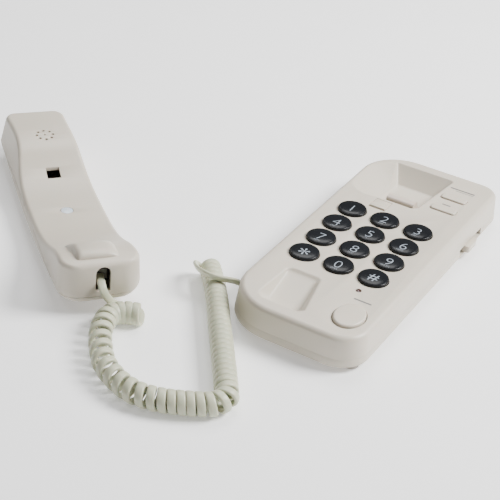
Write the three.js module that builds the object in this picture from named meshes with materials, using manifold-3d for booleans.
// A slimline corded telephone, base and handset lying side by side on a table, in millimetres.
// +X runs along the key row 1-2-3, +Y towards the earpiece end of the base, +Z up.
// The origin is the middle of the footprint of base and handset together, at table height.

import * as THREE from 'three';
import { mergeVertices } from 'three/addons/utils/BufferGeometryUtils.js';
import Module from 'manifold-3d';

const wasm = await Module();
wasm.setup();

// ---------------------------------------------------------------- driving dimensions

const GAP = 0.3; // clearance between neighbouring pieces
const WALL = 2.2; // moulded wall thickness
const FAR = 60; // longer than any cut needs to be

// where base and handset stand on the table
const BASE_AT = [102.7, 19.5];
const HANDSET_AT = [-67, -52.8];
const HANDSET_TURN = 49.6; // degrees, counter-clockwise

// base case
const CASE_X = 0.9; // middle of the case, a little right of the middle key column
const CASE_Y = [-106.9, 109.9];
const HALF_WIDTH_FRONT = 42.9;
const HALF_WIDTH_BACK = 44.6;
const FRONT_LEFT_RADIUS = 31;
const FRONT_RIGHT_RADIUS = 18.5;
const BACK_LEFT_RADIUS = 30;
const BACK_RIGHT_RADIUS = 14;
const FOOT_HEIGHT = 3.4;
const CASE_HEIGHT = 18.1;
const FLARE = 2; // how much wider the case is at its foot than at its face, on each side
const FACE_Z = FOOT_HEIGHT + CASE_HEIGHT;
const UNDER_FACE_Z = FACE_Z - WALL;
const COVER_TOP_Z = 8;
const COVER_FLOOR_Z = FOOT_HEIGHT + WALL;
const FACE_FILLET = 3;

// keypad: three columns and four rows of big round keys
const KEY_NAMES = [['1', '2', '3'], ['4', '5', '6'], ['7', '8', '9'], ['star', '0', 'hash']];
const KEY_RADIUS = 8.75;
const KEY_PITCH = [21.9, 21.0];
const KEYPAD_Y = -10.3;
const KEY_PROUD = 2.5;
const KEY_RIM_HEIGHT = 1.6;
const FLANGE_Z = [17.6, 19.0]; // retaining flange under the face
const BUTTON_CLEARANCE = 0.35;

// other buttons on the face: centre, size
const OVAL_BUTTON = { x: 27.2, y: -83.2, halfWidth: 8.5, halfLength: 11.5, proud: 2 };
const FLAT_BUTTONS = [
  { name: 'mute_button', x: 23.6, y: 75.5 },
  { name: 'flash_button', x: 23.3, y: 58.6 },
];
const FLAT_BUTTON = { width: 16.4, depth: 7, corner: 2, proud: 1.1 };
const LAMP = { x: 20.1, y: -57.3, radius: 1.6 };

// recesses in the face for the two ends of the handset: rim and floor corners as x, y, radius
const EAR_RIM = [[-27, 47, 3], [9.6, 47, 5], [14.3, 98.5, 2.5], [-26, 98.5, 1]];
const EAR_FLOOR = [[-20, 50.5, 2], [5.5, 50.5, 4], [5.5, 88, 2], [-19.5, 88, 1]];
const SCOOP_RIM = [[-39.2, 45.5, 15], [0, 48, 3], [0, 97, 3], [-39.5, 98, 22]]; // shallow side of the ear recess
const SCOOP_FLOOR = [[-19, 52, 4], [-1, 52, 2], [-1, 76, 2], [-19, 76, 8]];
const EAR_DEPTH = 11.5;
const MOUTH_RIM = [[-23.8, -96, 6], [5.2, -96, 4], [-0.8, -59, 4], [-22.6, -59, 5]];
const MOUTH_FLOOR = [[-20, -88, 5], [-1, -88, 4], [-4.2, -61.5, 2], [-21.2, -61.5, 2]];
const MOUTH_DEPTH = [7.4, 2]; // at the front and at the back of its sloping floor

// hook switch, handset hook, side switch and jacks
const PLUNGER = { x: [-11.2, 7], y: [47.6, 56], top: FACE_Z + 2.2, bottom: 12 };
const HOOK = { x: -10.8, y: 38.8, width: 10.2, length: 11.2, depth: 3.7, fingerGap: 0.8 };
const RINGER_SLOT = { y: [39.5, 74.5], z: [4.6, 9.2] };
const RINGER_KNOB = { y: [47, 60.5], proud: 2.8 };
const BASE_JACK_AT = [-80.5, 13.2]; // y and z on the left wall
const LINE_JACK_AT = [24, 13.2]; // x and z on the back wall
const JACK = { width: 10.8, height: 9.6, length: 14 };
const SOCKET = { width: 8.3, height: 7, depth: 10 };
const PLUG = { width: 7.7, height: 6.4, length: 11 };

// boards and fastenings
const KEYPAD_BOARD_Z = [12.6, 14.2];
const KEYPAD_MAT_Z = [14.5, 15.9];
const MAIN_BOARD_Z = [6.5, 8.1];
const FOOT_RADIUS = 4.6;
const FOOT_SINK = 1;
const FEET = [[-26.5, -93], [35.8, -93.2], [36, 100], [-26, 92]];
const BASE_SCREWS = [[-36.2, -58], [37.6, -58], [38.2, 36], [-36.8, 36]];
const SCREW_HEAD_Z = [4.2, 5.4];
const KEYHOLES_Y = [-44, 57.6]; // wall-plate studs are 101.6 apart
const KEYHOLE = { radius: 4.2, halfSlot: 2.2, length: 9 };

// handset, lying on its back: y from the mouth end to the ear end
const HANDSET_LENGTH = 194.4;
const HALF_WIDTHS = { mouth: 23.5, middle: 23.6, ear: 22.4 };
const BELLY = { mouth: 7.8, ear: 5.2 }; // how far the curved back lifts off the table at its ends
const HANDSET_SEAM_Z = 11;
const END_RADII = { mouth: 11, ear: 9 }; // of the ends in plan
const END_FILLET = 3; // of the ends in side view
const EDGE_RADII = { back: 8, face: 3 }; // of the long edges
const SIDE_DRAFT = 0.2; // how much the sides lean in per millimetre of height
const HANDSET_TOP = [ // height of the face above the table, along the handset
  [-97, 31.6], [-84, 31.1], [-72, 27.8], [-60, 22.8], [-47, 18.2], [-30, 14.8], [-8, 13.5],
  [14, 13.8], [28, 16.6], [38, 22.2], [45, 27.5], [55, 30.3], [70, 30.6], [97, 28.4],
];
const MOUTH_BLOCK = { x: [-12.5, 11.3], y: [-91, -67], top: 34.6, ridge: -87, back: 26 };
const EAR_HOLES = { y: 58, ring: 5.4, radius: 0.9, count: 8 };
const HANGER_HOLE = { y: 30.6, width: 8.4, length: 7.4 };
const HANDSET_SCREW_Y = -8.4;
const CORD_SLOT = { x: 0.3, halfWidth: 4.1, z: [14.3, 29.5] };
const HANDSET_JACK_Z = 20.5;

// cord: a flat cable wound into a curly cord, with a straight lead at each end
const COIL_RADIUS = 6.4;
const LEAD_RADIUS = 1.7;
const COIL_ROUTE = [ // middle of the coil, from the handset round to the base
  [29.4, -112.4], [24.8, -114], [20.6, -116.8], [17, -122.4], [19.1, -131.9], [24.4, -141.5], [30.9, -149.8],
  [38.7, -158], [46.8, -163.1], [56.2, -167], [65.3, -168.5], [73.2, -167.4], [81.4, -164.7],
  [88.9, -160.9], [96.1, -156.7], [101.6, -152], [103.5, -144.7], [100, -139],
  [92.8, -128.4], [81.1, -111.6], [68.6, -93.8], [55.6, -74.9], [44.6, -60.4], [33.7, -47.4],
];
const HANDSET_LEAD = [ // from the handset plug down to the table and round behind the coil
  [1.8, -111.4, 20.5], [5.9, -115.9, 20.1], [9.2, -118.2, 17], [10.2, -116, 11.8], [11.2, -112.4, 7],
  [13, -108.8, 3.6], [16.2, -105.6, 2.3], [20.6, -104, 2], [25.2, -103.4, 1.8],
];
const BASE_LEAD = [ // from the base plug over the coil and down its far side to its end
  [62.4, -61, 13.2], [58.9, -61.5, 13.6], [54.8, -63.8, 14.3], [50.5, -66.5, 15], [46, -67.4, 15.2],
  [41, -66.3, 14.7], [35.9, -62.9, 12.9], [31.4, -58.6, 11], [28.6, -54.2, 9.4],
];

// ---------------------------------------------------------------- solids from three.js geometry

function toSolid(geometry) {
  const bare = geometry.clone();
  bare.deleteAttribute('normal');
  bare.deleteAttribute('uv');
  const merged = mergeVertices(bare, 1e-4);
  return new wasm.Manifold(new wasm.Mesh({
    numProp: 3,
    vertProperties: new Float32Array(merged.attributes.position.array),
    triVerts: new Uint32Array(merged.index.array),
  }));
}

function toGeometry(solid) {
  const made = solid.getMesh();
  const geometry = new THREE.BufferGeometry();
  geometry.setAttribute('position', new THREE.BufferAttribute(made.vertProperties, 3));
  geometry.setIndex(new THREE.BufferAttribute(made.triVerts, 1));
  geometry.computeVertexNormals();
  return geometry;
}

function piece(name, solid, material) {
  const mesh = new THREE.Mesh(toGeometry(solid), material);
  mesh.name = name;
  return mesh;
}

function block(x, y, z) {
  const geometry = new THREE.BoxGeometry(x[1] - x[0], y[1] - y[0], z[1] - z[0]);
  geometry.translate((x[0] + x[1]) / 2, (y[0] + y[1]) / 2, (z[0] + z[1]) / 2);
  return toSolid(geometry);
}

function post(radius, x, y, z, sides = 20) {
  const geometry = new THREE.CylinderGeometry(radius, radius, z[1] - z[0], sides);
  geometry.rotateX(Math.PI / 2);
  geometry.translate(x, y, (z[0] + z[1]) / 2);
  return toSolid(geometry);
}

function turned(profile, x, y, sides = 20) {
  const points = profile.map(([radius, height]) => new THREE.Vector2(radius, height));
  const geometry = new THREE.LatheGeometry(points, sides);
  geometry.rotateX(Math.PI / 2);
  geometry.translate(x, y, 0);
  return toSolid(geometry);
}

function prism(shape, z, curveSegments = 4) {
  const geometry = new THREE.ExtrudeGeometry(shape, {
    depth: z[1] - z[0], bevelEnabled: false, curveSegments,
  });
  geometry.translate(0, 0, z[0]);
  return toSolid(geometry);
}

function roundedRectangle(x, y, radius) {
  const shape = new THREE.Shape();
  shape.moveTo(x[0] + radius, y[0]);
  shape.absarc(x[1] - radius, y[0] + radius, radius, -Math.PI / 2, 0);
  shape.absarc(x[1] - radius, y[1] - radius, radius, 0, Math.PI / 2);
  shape.absarc(x[0] + radius, y[1] - radius, radius, Math.PI / 2, Math.PI);
  shape.absarc(x[0] + radius, y[0] + radius, radius, Math.PI, 1.5 * Math.PI);
  return shape;
}

// Points round four corners given as [x, y, radius] from the low-x low-y corner, counter-clockwise.
function cornerRing(corners, perCorner = 6) {
  const into = [[1, 1], [-1, 1], [-1, -1], [1, -1]];
  return corners.flatMap(([x, y, radius], i) => {
    const points = [];
    for (let k = 0; k < perCorner; k++) {
      const angle = Math.PI + (i + k / (perCorner - 1)) * (Math.PI / 2);
      points.push([
        x + into[i][0] * radius + radius * Math.cos(angle),
        y + into[i][1] * radius + radius * Math.sin(angle),
      ]);
    }
    return points;
  });
}

function insetCorners(corners, inset) {
  const into = [[1, 1], [-1, 1], [-1, -1], [1, -1]];
  return corners.map(([x, y, radius], i) => [
    x + into[i][0] * inset, y + into[i][1] * inset, Math.max(radius - inset, 0.4),
  ]);
}

// A closed solid through rings of equal point count, each counter-clockwise about the way they go.
function loft(rings) {
  const count = rings[0].length;
  const positions = rings.flat().flatMap((point) => point);
  const index = [];
  for (let r = 0; r + 1 < rings.length; r++) {
    for (let j = 0; j < count; j++) {
      const a = r * count + j;
      const b = r * count + (j + 1) % count;
      index.push(a, b, b + count, a, b + count, a + count);
    }
  }
  const last = (rings.length - 1) * count;
  for (let j = 1; j + 1 < count; j++) {
    index.push(0, j + 1, j, last, last + j, last + j + 1);
  }
  const geometry = new THREE.BufferGeometry();
  geometry.setAttribute('position', new THREE.Float32BufferAttribute(positions, 3));
  geometry.setIndex(index);
  return toSolid(geometry);
}

function tubeAlong(points, radius, steps, sides) {
  const section = new THREE.Shape();
  section.moveTo(radius, 0);
  for (let i = 1; i < sides; i++) {
    const angle = (2 * Math.PI * i) / sides;
    section.lineTo(radius * Math.cos(angle), radius * Math.sin(angle));
  }
  const extrudePath = new THREE.CatmullRomCurve3(points.map((p) => new THREE.Vector3(...p)));
  return toSolid(new THREE.ExtrudeGeometry(section, { extrudePath, steps, bevelEnabled: false }));
}

// ---------------------------------------------------------------- materials

function plastic(color, roughness = 0.5) {
  return new THREE.MeshStandardMaterial({ color, roughness, metalness: 0 });
}

function metal(color, roughness = 0.35) {
  return new THREE.MeshStandardMaterial({ color, roughness, metalness: 1 });
}

const HOUSING = 0xcfc8be;
const HOUSING_SHADE = 0xc9c2b6;
const KEY_BLACK = 0x1a1e22;
const JACK_BLACK = 0x202020;
const BOARD_GREEN = 0x2f6b3a;
const FOOT_GREY = 0xb3aca0;
const CORD = 0xc8c9b4;
const CLEAR = 0xd8dcdc;

// ---------------------------------------------------------------- base case

const BASE_CORNERS = [
  [CASE_X - HALF_WIDTH_FRONT, CASE_Y[0], FRONT_LEFT_RADIUS],
  [CASE_X + HALF_WIDTH_FRONT, CASE_Y[0], FRONT_RIGHT_RADIUS],
  [CASE_X + HALF_WIDTH_BACK, CASE_Y[1], BACK_RIGHT_RADIUS],
  [CASE_X - HALF_WIDTH_BACK, CASE_Y[1], BACK_LEFT_RADIUS],
];

// The outline of the case at height z, drawn in by the given inset.
function caseRing(inset, z) {
  const lean = (FLARE * (z - FOOT_HEIGHT)) / CASE_HEIGHT;
  return cornerRing(insetCorners(BASE_CORNERS, inset + lean)).map(([x, y]) => [x, y, z]);
}

function recess(rim, floor, depthAt, grow) {
  const top = cornerRing(insetCorners(rim, -grow), 5);
  const bottom = cornerRing(insetCorners(floor, -grow), 5);
  const level = (z) => ([x, y]) => [x, y, z];
  return loft([
    bottom.map(([x, y]) => [x, y, FACE_Z - depthAt(y) - grow]),
    top.map(level(FACE_Z)),
    top.map(level(FACE_Z + 1)),
  ]);
}

function earRecess(grow) {
  const deep = recess(EAR_RIM, EAR_FLOOR, () => EAR_DEPTH, grow);
  return deep.add(recess(SCOOP_RIM, SCOOP_FLOOR, () => EAR_DEPTH - 0.1, grow));
}

function mouthRecess(grow) {
  const [front, back] = [MOUTH_FLOOR[0][1], MOUTH_FLOOR[3][1]];
  const slope = (MOUTH_DEPTH[1] - MOUTH_DEPTH[0]) / (back - front);
  return recess(MOUTH_RIM, MOUTH_FLOOR, (y) => MOUTH_DEPTH[0] + slope * (y - front), grow);
}

function keyCentres() {
  return KEY_NAMES.flatMap((row, r) => row.map((label, c) => ({
    name: `key_${label}`,
    x: (c - 1) * KEY_PITCH[0],
    y: KEYPAD_Y + (1.5 - r) * KEY_PITCH[1],
  })));
}

function ringerSlot() {
  return block([CASE_X + HALF_WIDTH_FRONT - 4.8, FAR], RINGER_SLOT.y, RINGER_SLOT.z);
}

function topHousing() {
  const outside = loft([
    caseRing(0, COVER_TOP_Z + GAP),
    ...[0, 30, 60, 90].map((degrees) => {
      const angle = THREE.MathUtils.degToRad(degrees);
      const inset = FACE_FILLET * (1 - Math.cos(angle));
      return caseRing(inset, FACE_Z - FACE_FILLET * (1 - Math.sin(angle)));
    }),
  ]);
  const inside = loft([
    caseRing(WALL, 0), caseRing(WALL, UNDER_FACE_Z - 1), caseRing(WALL + 1, UNDER_FACE_Z),
  ]);
  const hookPocket = block(
    [HOOK.x - HOOK.width / 2 - 1.5, HOOK.x + HOOK.width / 2 + 1.5],
    [HOOK.y - HOOK.length / 2 - 1.5, HOOK.y + HOOK.length / 2 + 1.5],
    [FACE_Z - HOOK.depth - 1.5, FACE_Z - 1],
  );
  const bowls = earRecess(WALL - 0.3).add(mouthRecess(WALL - 0.3)).intersect(outside);
  let housing = outside.subtract(inside).add(bowls).add(hookPocket);
  for (const [x, y] of BASE_SCREWS) {
    housing = housing.add(post(3.4, x, y, [COVER_TOP_Z + GAP, FACE_Z - 1], 16));
    housing = housing.subtract(post(1.55, x, y, [0, 15], 12));
  }
  housing = housing.subtract(earRecess(0)).subtract(mouthRecess(0)).subtract(ringerSlot());
  for (const { x, y } of keyCentres()) {
    housing = housing.subtract(post(KEY_RADIUS + BUTTON_CLEARANCE, x, y, [16, FAR]));
  }
  housing = housing.subtract(ovalButtonBody(BUTTON_CLEARANCE, [16, FAR]));
  for (const { x, y } of FLAT_BUTTONS) {
    housing = housing.subtract(flatButtonBody(x, y, BUTTON_CLEARANCE, [16, FAR]));
  }
  housing = housing.subtract(post(LAMP.radius + GAP, LAMP.x, LAMP.y, [16, FAR], 10));
  housing = housing.subtract(block(
    [HOOK.x - HOOK.width / 2 - GAP, HOOK.x + HOOK.width / 2 + GAP],
    [HOOK.y - HOOK.length / 2 - HOOK.fingerGap, HOOK.y + HOOK.length / 2 + GAP],
    [FACE_Z - HOOK.depth - GAP, FAR],
  ));
  housing = housing.subtract(block(
    [PLUNGER.x[0] - GAP, PLUNGER.x[1] + GAP], [PLUNGER.y[0] - GAP, PLUNGER.y[1] + GAP], [0, FAR],
  ));
  const [jackY, jackZ] = BASE_JACK_AT;
  housing = housing.subtract(block(
    [-FAR, CASE_X - HALF_WIDTH_FRONT + 7],
    [jackY - JACK.width / 2 - GAP, jackY + JACK.width / 2 + GAP],
    [jackZ - JACK.height / 2 - GAP, jackZ + JACK.height / 2 + GAP],
  ));
  const [lineX, lineZ] = LINE_JACK_AT;
  return housing.subtract(block(
    [lineX - JACK.width / 2 - GAP, lineX + JACK.width / 2 + GAP],
    [CASE_Y[1] - 5, CASE_Y[1] + 5],
    [lineZ - JACK.height / 2 - GAP, lineZ + JACK.height / 2 + GAP],
  ));
}

function bottomCover() {
  const outside = loft([
    caseRing(0.8, FOOT_HEIGHT), caseRing(0, FOOT_HEIGHT + 0.8), caseRing(0, COVER_TOP_Z),
  ]);
  const inside = loft([caseRing(WALL, COVER_FLOOR_Z), caseRing(WALL, COVER_TOP_Z + 1)]);
  let cover = outside.subtract(inside).subtract(ringerSlot());
  for (const [x, y] of BASE_SCREWS) {
    cover = cover.add(post(4.6, x, y, [FOOT_HEIGHT + 1, COVER_TOP_Z], 16).intersect(outside));
    cover = cover.subtract(post(3.3, x, y, [0, SCREW_HEAD_Z[1] + GAP], 16));
    cover = cover.subtract(post(1.6, x, y, [0, FAR], 12));
  }
  for (const [x, y] of FEET) {
    const pad = post(FOOT_RADIUS + 2, x, y, [COVER_FLOOR_Z - 0.5, COVER_FLOOR_Z + 1], 16);
    cover = cover.add(pad.intersect(outside));
    cover = cover.subtract(footBody(x, y, GAP));
  }
  for (const y of KEYHOLES_Y) {
    cover = cover.subtract(post(KEYHOLE.radius, 0, y, [0, FAR], 16));
    cover = cover.subtract(block(
      [-KEYHOLE.halfSlot, KEYHOLE.halfSlot], [y, y + KEYHOLE.length], [0, FAR],
    ));
  }
  return cover;
}

function footBody(x, y, grow) {
  return post(FOOT_RADIUS + grow, x, y, [0, FOOT_HEIGHT + FOOT_SINK + grow], 16);
}

function baseScrew(x, y) {
  const [low, high] = SCREW_HEAD_Z;
  return turned([[0, low], [3, low], [3, high], [1.2, high], [1.2, 13.6], [0, 14.6]], x, y, 12);
}

// ---------------------------------------------------------------- keys and buttons

function roundKey(x, y, radius, proud, rim) {
  return turned([
    [0, FLANGE_Z[0]], [radius + 1.1, FLANGE_Z[0]], [radius + 1.1, FLANGE_Z[1]],
    [radius, FLANGE_Z[1]], [radius, FACE_Z + rim], [radius * 0.86, FACE_Z + rim + (proud - rim) * 0.6],
    [radius * 0.5, FACE_Z + proud - 0.1], [0, FACE_Z + proud],
  ], x, y);
}

function ovalButtonBody(grow, z) {
  const { x, y, halfWidth, halfLength } = OVAL_BUTTON;
  const round = post(1, 0, 0, z, 24);
  return round.scale([halfWidth + grow, halfLength + grow, 1]).translate([x, y, 0]);
}

function ovalButton() {
  const { x, y, halfWidth, halfLength, proud } = OVAL_BUTTON;
  const round = roundKey(0, 0, halfWidth, proud, proud - 0.9);
  return round.scale([1, halfLength / halfWidth, 1]).translate([x, y, 0]);
}

function flatButtonBody(x, y, grow, z) {
  const halfWidth = FLAT_BUTTON.width / 2 + grow;
  const halfDepth = FLAT_BUTTON.depth / 2 + grow;
  const outline = roundedRectangle(
    [x - halfWidth, x + halfWidth], [y - halfDepth, y + halfDepth], FLAT_BUTTON.corner + grow,
  );
  return prism(outline, z, 3);
}

function flatButton(x, y) {
  const cap = flatButtonBody(x, y, 0, [FLANGE_Z[0], FACE_Z + FLAT_BUTTON.proud]);
  return cap.add(flatButtonBody(x, y, 1, FLANGE_Z));
}

function plunger() {
  const { x, y, top, bottom } = PLUNGER;
  const side = new THREE.Shape();
  side.moveTo(y[0], bottom);
  side.lineTo(y[1], bottom);
  side.lineTo(y[1], top - 4);
  side.quadraticCurveTo(y[1] - 1, top, y[0] + 3, top);
  side.quadraticCurveTo(y[0], top, y[0], top - 2);
  const geometry = new THREE.ExtrudeGeometry(side, {
    depth: x[1] - x[0], bevelEnabled: false, curveSegments: 4,
  });
  geometry.rotateX(Math.PI / 2);
  geometry.rotateZ(Math.PI / 2);
  geometry.translate(x[0], 0, 0);
  const seat = post(3.4, (x[0] + x[1]) / 2, (y[0] + y[1]) / 2, [0, bottom + 3], 16);
  return toSolid(geometry).subtract(seat);
}

function plungerSpring() {
  const turns = 4;
  const [low, high] = [COVER_FLOOR_Z + GAP + 0.35, PLUNGER.bottom + 3 - GAP - 0.35];
  const centre = [(PLUNGER.x[0] + PLUNGER.x[1]) / 2, (PLUNGER.y[0] + PLUNGER.y[1]) / 2];
  const points = [];
  for (let i = 0; i <= turns * 10; i++) {
    const angle = (2 * Math.PI * i) / 10;
    const height = low + ((high - low) * i) / (turns * 10);
    points.push([centre[0] + 2.6 * Math.cos(angle), centre[1] + 2.6 * Math.sin(angle), height]);
  }
  return tubeAlong(points, 0.3, turns * 10, 5);
}

function handsetHook() {
  const { x, y, width, length, depth } = HOOK;
  const body = block(
    [x - width / 2, x + width / 2], [y - length / 2, y + length / 2], [FACE_Z - depth, FACE_Z + 0.5],
  );
  const lip = block([x - width / 2, x + width / 2], [y - length / 2, y - 1], [FACE_Z, FACE_Z + 1]);
  return body.add(lip);
}

// ---------------------------------------------------------------- inside the base

function keypadOutline(inset) {
  const main = block([-32.5 + inset, 33 - inset], [-55 + inset, 37 - inset], [0, 1]);
  const front = block([17 + inset, 33 - inset], [-94 + inset, -40], [0, 1]);
  const back = block([17 + inset, 32 - inset], [20, 82 - inset], [0, 1]);
  return main.add(front).add(back);
}

function sheet(outline, z) {
  return outline.scale([1, 1, z[1] - z[0]]).translate([0, 0, z[0]]);
}

function mainBoard() {
  return block([-30, 30], [-30, 36], MAIN_BOARD_Z);
}

function buzzer() {
  return post(10, 8, -20, [MAIN_BOARD_Z[1] + GAP, 12.2], 20).subtract(post(1.5, 8, -20, [10, FAR], 10));
}

function ringerBody() {
  return block([32, 39], [43, 71], [COVER_FLOOR_Z + GAP, 10.5]);
}

function ringerKnob() {
  const [y0, y1] = RINGER_KNOB.y;
  const z = [RINGER_SLOT.z[0] + GAP, RINGER_SLOT.z[1] - GAP];
  const outer = CASE_X + HALF_WIDTH_BACK - 0.6 + RINGER_KNOB.proud;
  const outline = new THREE.Shape();
  outline.moveTo(39.3, y0);
  outline.lineTo(outer - 1.6, y0);
  outline.quadraticCurveTo(outer, y0, outer, y0 + 1.6);
  outline.lineTo(outer, y1 - 1.6);
  outline.quadraticCurveTo(outer, y1, outer - 1.6, y1);
  outline.lineTo(39.3, y1);
  return prism(outline, z, 3);
}

function lamp() {
  const { x, y, radius } = LAMP;
  return turned([
    [0, 16.4], [radius + 0.8, 16.4], [radius + 0.8, 18.8], [radius, 18.8],
    [radius, FACE_Z - 0.6], [radius * 0.6, FACE_Z - 0.1], [0, FACE_Z],
  ], x, y, 10);
}

// A jack facing +X: a block with a socket in its outer face, which lies at x = 0.
function jack() {
  const body = block([-JACK.length, 0], [-JACK.width / 2, JACK.width / 2], [-JACK.height / 2, JACK.height / 2]);
  return body.subtract(block(
    [-SOCKET.depth, 1], [-SOCKET.width / 2, SOCKET.width / 2], [-SOCKET.height / 2, SOCKET.height / 2],
  ));
}

// A plug facing the way the jack does, pushed home in its socket.
function plug() {
  const inner = -SOCKET.depth + GAP;
  const body = block(
    [inner, inner + PLUG.length], [-PLUG.width / 2, PLUG.width / 2], [-PLUG.height / 2, PLUG.height / 2],
  );
  const latch = block([inner + 2, inner + PLUG.length - 1], [-1.6, 1.6], [-FAR, -PLUG.height / 2 + 1]);
  return body.subtract(latch.translate([0, 0, -0.6]));
}

// ---------------------------------------------------------------- handset

const handsetTop = new THREE.SplineCurve(HANDSET_TOP.map((p) => new THREE.Vector2(...p)));

// Height of the face at y, by halving the stretch of curve that holds it.
function topAt(y) {
  let [low, high] = [0, 1];
  for (let i = 0; i < 24; i++) {
    const middle = (low + high) / 2;
    if (handsetTop.getPoint(middle).x < y) low = middle;
    else high = middle;
  }
  return handsetTop.getPoint(low).y;
}

function halfWidthAt(y) {
  const end = y < 0 ? HALF_WIDTHS.mouth : HALF_WIDTHS.ear;
  return THREE.MathUtils.lerp(HALF_WIDTHS.middle, end, Math.min(Math.abs(y) / 79, 1));
}

function roundedBy(radius, distance) {
  if (distance >= radius) return 0;
  return radius - Math.sqrt(radius ** 2 - (radius - distance) ** 2);
}

function handsetStations() {
  const half = HANDSET_LENGTH / 2;
  const end = (radius) => [0, 22, 45, 68, 90].map((degrees) => {
    const angle = THREE.MathUtils.degToRad(degrees);
    return half - radius * (1 - Math.cos(angle));
  });
  const middle = [];
  for (let y = -72; y <= 72; y += 12) middle.push(y);
  return [...end(END_RADII.mouth).map((y) => -y), ...middle, ...end(END_RADII.ear).toReversed()];
}

// The handset's outside, or the space inside its walls when a wall is given.
function handsetBody(wall) {
  const rings = handsetStations().map((station) => {
    const y = station * (1 - (2 * wall) / HANDSET_LENGTH);
    const fromEnd = HANDSET_LENGTH / 2 - Math.abs(station);
    const low = (y < 0 ? BELLY.mouth : BELLY.ear) * (2 * y / HANDSET_LENGTH) ** 2;
    const high = topAt(y);
    const half = halfWidthAt(y) - wall - roundedBy(y < 0 ? END_RADII.mouth : END_RADII.ear, fromEnd);
    const squeeze = wall + roundedBy(END_FILLET, fromEnd);
    const lean = SIDE_DRAFT * Math.max(high - low - 10, 0);
    const corners = [
      [-half, low + squeeze, EDGE_RADII.back - wall], [half, low + squeeze, EDGE_RADII.back - wall],
      [half - lean, high - squeeze, EDGE_RADII.face - wall / 2],
      [-half + lean, high - squeeze, EDGE_RADII.face - wall / 2],
    ];
    return cornerRing(corners, 5).map(([x, z]) => [x, y, z]).reverse();
  });
  return loft(rings);
}

function mouthBlock() {
  const { x, y, top, ridge, back } = MOUTH_BLOCK;
  const side = new THREE.Shape();
  side.moveTo(y[0], back);
  side.lineTo(y[0], top - 3.4);
  side.quadraticCurveTo(y[0] + 0.4, top, ridge, top);
  side.quadraticCurveTo(y[1] - 8, top - 1, y[1], back - 1);
  const geometry = new THREE.ExtrudeGeometry(side, {
    depth: x[1] - x[0], bevelEnabled: false, curveSegments: 5,
  });
  geometry.rotateX(Math.PI / 2);
  geometry.rotateZ(Math.PI / 2);
  geometry.translate(x[0], 0, 0);
  return toSolid(geometry);
}

function cordSlot() {
  const { x, halfWidth, z } = CORD_SLOT;
  const end = HANDSET_LENGTH / 2;
  const below = block([x - halfWidth, x + halfWidth], [-end - 1, -end + 5], [z[0], z[1] - halfWidth]);
  const geometry = new THREE.CylinderGeometry(halfWidth, halfWidth, 6, 20);
  geometry.translate(x, -end + 2, z[1] - halfWidth);
  return below.add(toSolid(geometry));
}

function handsetInnerShell() {
  const above = block([-FAR, FAR], [-2 * FAR, 2 * FAR], [HANDSET_SEAM_Z + GAP, FAR]);
  const y = HANDSET_SCREW_Y;
  const boss = post(5.2, 0, y, [8.5, 12.5], 16);
  let shell = handsetBody(0).add(mouthBlock()).intersect(above).subtract(handsetBody(WALL)).add(boss);
  shell = shell.subtract(post(1.6, 0, y, [0, FAR], 12)).subtract(post(3.1, 0, y, [9.4, FAR], 16));
  shell = shell.subtract(post(3.9, 0, y, [11.2, FAR], 16)).subtract(cordSlot());
  for (let i = 0; i <= EAR_HOLES.count; i++) {
    const angle = (2 * Math.PI * i) / EAR_HOLES.count;
    const ring = i < EAR_HOLES.count ? EAR_HOLES.ring : 0;
    const at = [ring * Math.cos(angle), EAR_HOLES.y + ring * Math.sin(angle)];
    shell = shell.subtract(post(EAR_HOLES.radius, ...at, [20, FAR], 6));
  }
  const { width, length, y: holeY } = HANGER_HOLE;
  return shell.subtract(block(
    [-width / 2, width / 2], [holeY - length / 2, holeY + length / 2], [HANDSET_SEAM_Z, FAR],
  ));
}

function handsetOuterShell() {
  const below = block([-FAR, FAR], [-2 * FAR, 2 * FAR], [-1, HANDSET_SEAM_Z]);
  const boss = post(4.4, 0, HANDSET_SCREW_Y, [1.5, 8.2], 16);
  const shell = handsetBody(0).intersect(below).subtract(handsetBody(WALL)).add(boss);
  return shell.subtract(post(1.55, 0, HANDSET_SCREW_Y, [3, FAR], 12));
}

function handsetScrew() {
  const profile = [[0, 3.2], [1.2, 4], [1.2, 9.7], [2.8, 9.7], [2.8, 11], [0, 11]];
  return turned(profile, 0, HANDSET_SCREW_Y, 12);
}

function screwCover() {
  const profile = [[0, 11.5], [3.6, 11.5], [3.6, 13.5], [0, 13.9]];
  return turned(profile, 0, HANDSET_SCREW_Y, 16);
}

function receiverCapsule() {
  const profile = [[0, 18], [14, 18], [14, 23], [10, 26], [0, 26]];
  return turned(profile, 0, EAR_HOLES.y, 20);
}

function microphone() {
  return post(4.5, 0, -68.5, [16, 21], 16);
}

function ballastWeight() {
  return block([-13, 13], [4, 40], [3.6, 6.8]);
}

// ---------------------------------------------------------------- cord

function levelRoute(route, z) {
  return route.map(([x, y]) => [x, y, z]);
}

function cordCoil() {
  return tubeAlong(levelRoute(COIL_ROUTE, COIL_RADIUS), COIL_RADIUS, 52, 10);
}

// ---------------------------------------------------------------- the assembly

const ivory = plastic(HOUSING, 0.45);

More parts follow.
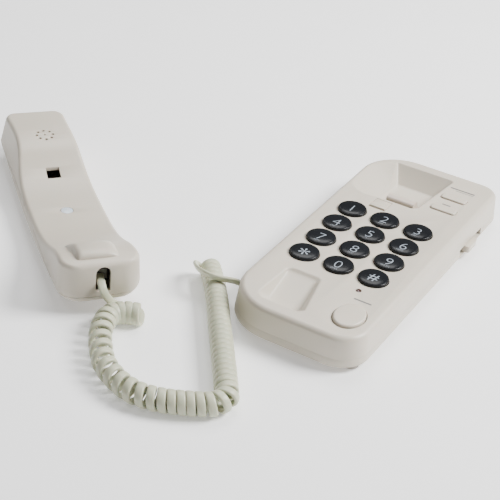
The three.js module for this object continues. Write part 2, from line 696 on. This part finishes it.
function makeBase() {
  const base = new THREE.Group();
  base.position.set(...BASE_AT, 0);
  base.add(piece('top_housing', topHousing(), ivory.clone()));
  base.add(piece('bottom_cover', bottomCover(), plastic(HOUSING_SHADE, 0.5)));
  for (const { name, x, y } of keyCentres()) {
    base.add(piece(name, roundKey(x, y, KEY_RADIUS, KEY_PROUD, KEY_RIM_HEIGHT), plastic(KEY_BLACK, 0.15)));
  }
  base.add(piece('oval_button', ovalButton(), ivory.clone()));
  for (const button of FLAT_BUTTONS) {
    base.add(piece(button.name, flatButton(button.x, button.y), ivory.clone()));
  }
  base.add(piece('lamp_lens', lamp(), plastic(0x4a1210, 0.2)));
  base.add(piece('hook_plunger', plunger(), plastic(0xcdc0ab, 0.45)));
  base.add(piece('plunger_spring', plungerSpring(), metal(0xb8b8b8)));
  base.add(piece('handset_hook', handsetHook(), ivory.clone()));
  base.add(piece('keypad_mat', sheet(keypadOutline(1), KEYPAD_MAT_Z), plastic(0x8c8f90, 0.8)));
  base.add(piece('keypad_board', sheet(keypadOutline(0), KEYPAD_BOARD_Z), plastic(BOARD_GREEN, 0.4)));
  base.add(piece('main_board', mainBoard(), plastic(BOARD_GREEN, 0.4)));
  base.add(piece('buzzer', buzzer(), plastic(JACK_BLACK, 0.5)));
  base.add(piece('ringer_switch_body', ringerBody(), plastic(JACK_BLACK, 0.5)));
  base.add(piece('ringer_switch_knob', ringerKnob(), ivory.clone()));
  FEET.forEach(([footX, footY], i) => {
    base.add(piece(`foot_${i + 1}`, footBody(footX, footY, 0), plastic(FOOT_GREY, 0.8)));
  });
  BASE_SCREWS.forEach(([screwX, screwY], i) => {
    base.add(piece(`base_screw_${i + 1}`, baseScrew(screwX, screwY), metal(0x9a9a96)));
  });
  base.add(baseConnectors());
  return base;
}

function baseConnectors() {
  const group = new THREE.Group();
  const cordJack = new THREE.Group();
  cordJack.position.set(CASE_X - HALF_WIDTH_FRONT + 3.6, BASE_JACK_AT[0], BASE_JACK_AT[1]);
  cordJack.rotation.z = Math.PI;
  cordJack.add(piece('base_cord_jack', jack(), plastic(JACK_BLACK, 0.4)));
  cordJack.add(piece('base_cord_plug', plug(), plastic(CLEAR, 0.1)));
  const lineJack = new THREE.Group();
  lineJack.position.set(LINE_JACK_AT[0], CASE_Y[1] - 1.4, LINE_JACK_AT[1]);
  lineJack.rotation.z = Math.PI / 2;
  lineJack.add(piece('line_jack', jack(), plastic(JACK_BLACK, 0.4)));
  group.add(cordJack, lineJack);
  return group;
}

function makeHandset() {
  const handset = new THREE.Group();
  handset.position.set(...HANDSET_AT, 0);
  handset.rotation.z = THREE.MathUtils.degToRad(HANDSET_TURN);
  handset.add(piece('handset_inner_shell', handsetInnerShell(), ivory.clone()));
  handset.add(piece('handset_outer_shell', handsetOuterShell(), plastic(HOUSING_SHADE, 0.5)));
  handset.add(piece('handset_screw', handsetScrew(), metal(0x9a9a96)));
  handset.add(piece('screw_cover', screwCover(), plastic(0xdfe6ea, 0.3)));
  handset.add(piece('receiver_capsule', receiverCapsule(), plastic(JACK_BLACK, 0.6)));
  handset.add(piece('microphone_capsule', microphone(), metal(0x8a8a86)));
  handset.add(piece('ballast_weight', ballastWeight(), metal(0x77787a, 0.5)));
  const cordEnd = new THREE.Group();
  cordEnd.position.set(0, -HANDSET_LENGTH / 2 + 8.6, HANDSET_JACK_Z);
  cordEnd.rotation.z = -Math.PI / 2;
  cordEnd.add(piece('handset_jack', jack(), plastic(JACK_BLACK, 0.4)));
  cordEnd.add(piece('handset_cord_plug', plug(), plastic(CLEAR, 0.1)));
  handset.add(cordEnd);
  return handset;
}

function makeCord() {
  const cord = new THREE.Group();
  cord.add(piece('cord_coil', cordCoil(), plastic(CORD, 0.5)));
  cord.add(piece('cord_lead_handset', tubeAlong(HANDSET_LEAD, LEAD_RADIUS, 16, 8), plastic(CORD, 0.5)));
  cord.add(piece('cord_lead_base', tubeAlong(BASE_LEAD, LEAD_RADIUS, 16, 8), plastic(CORD, 0.5)));
  return cord;
}

const phone = new THREE.Group();
phone.add(makeBase(), makeHandset(), makeCord());

export default phone;
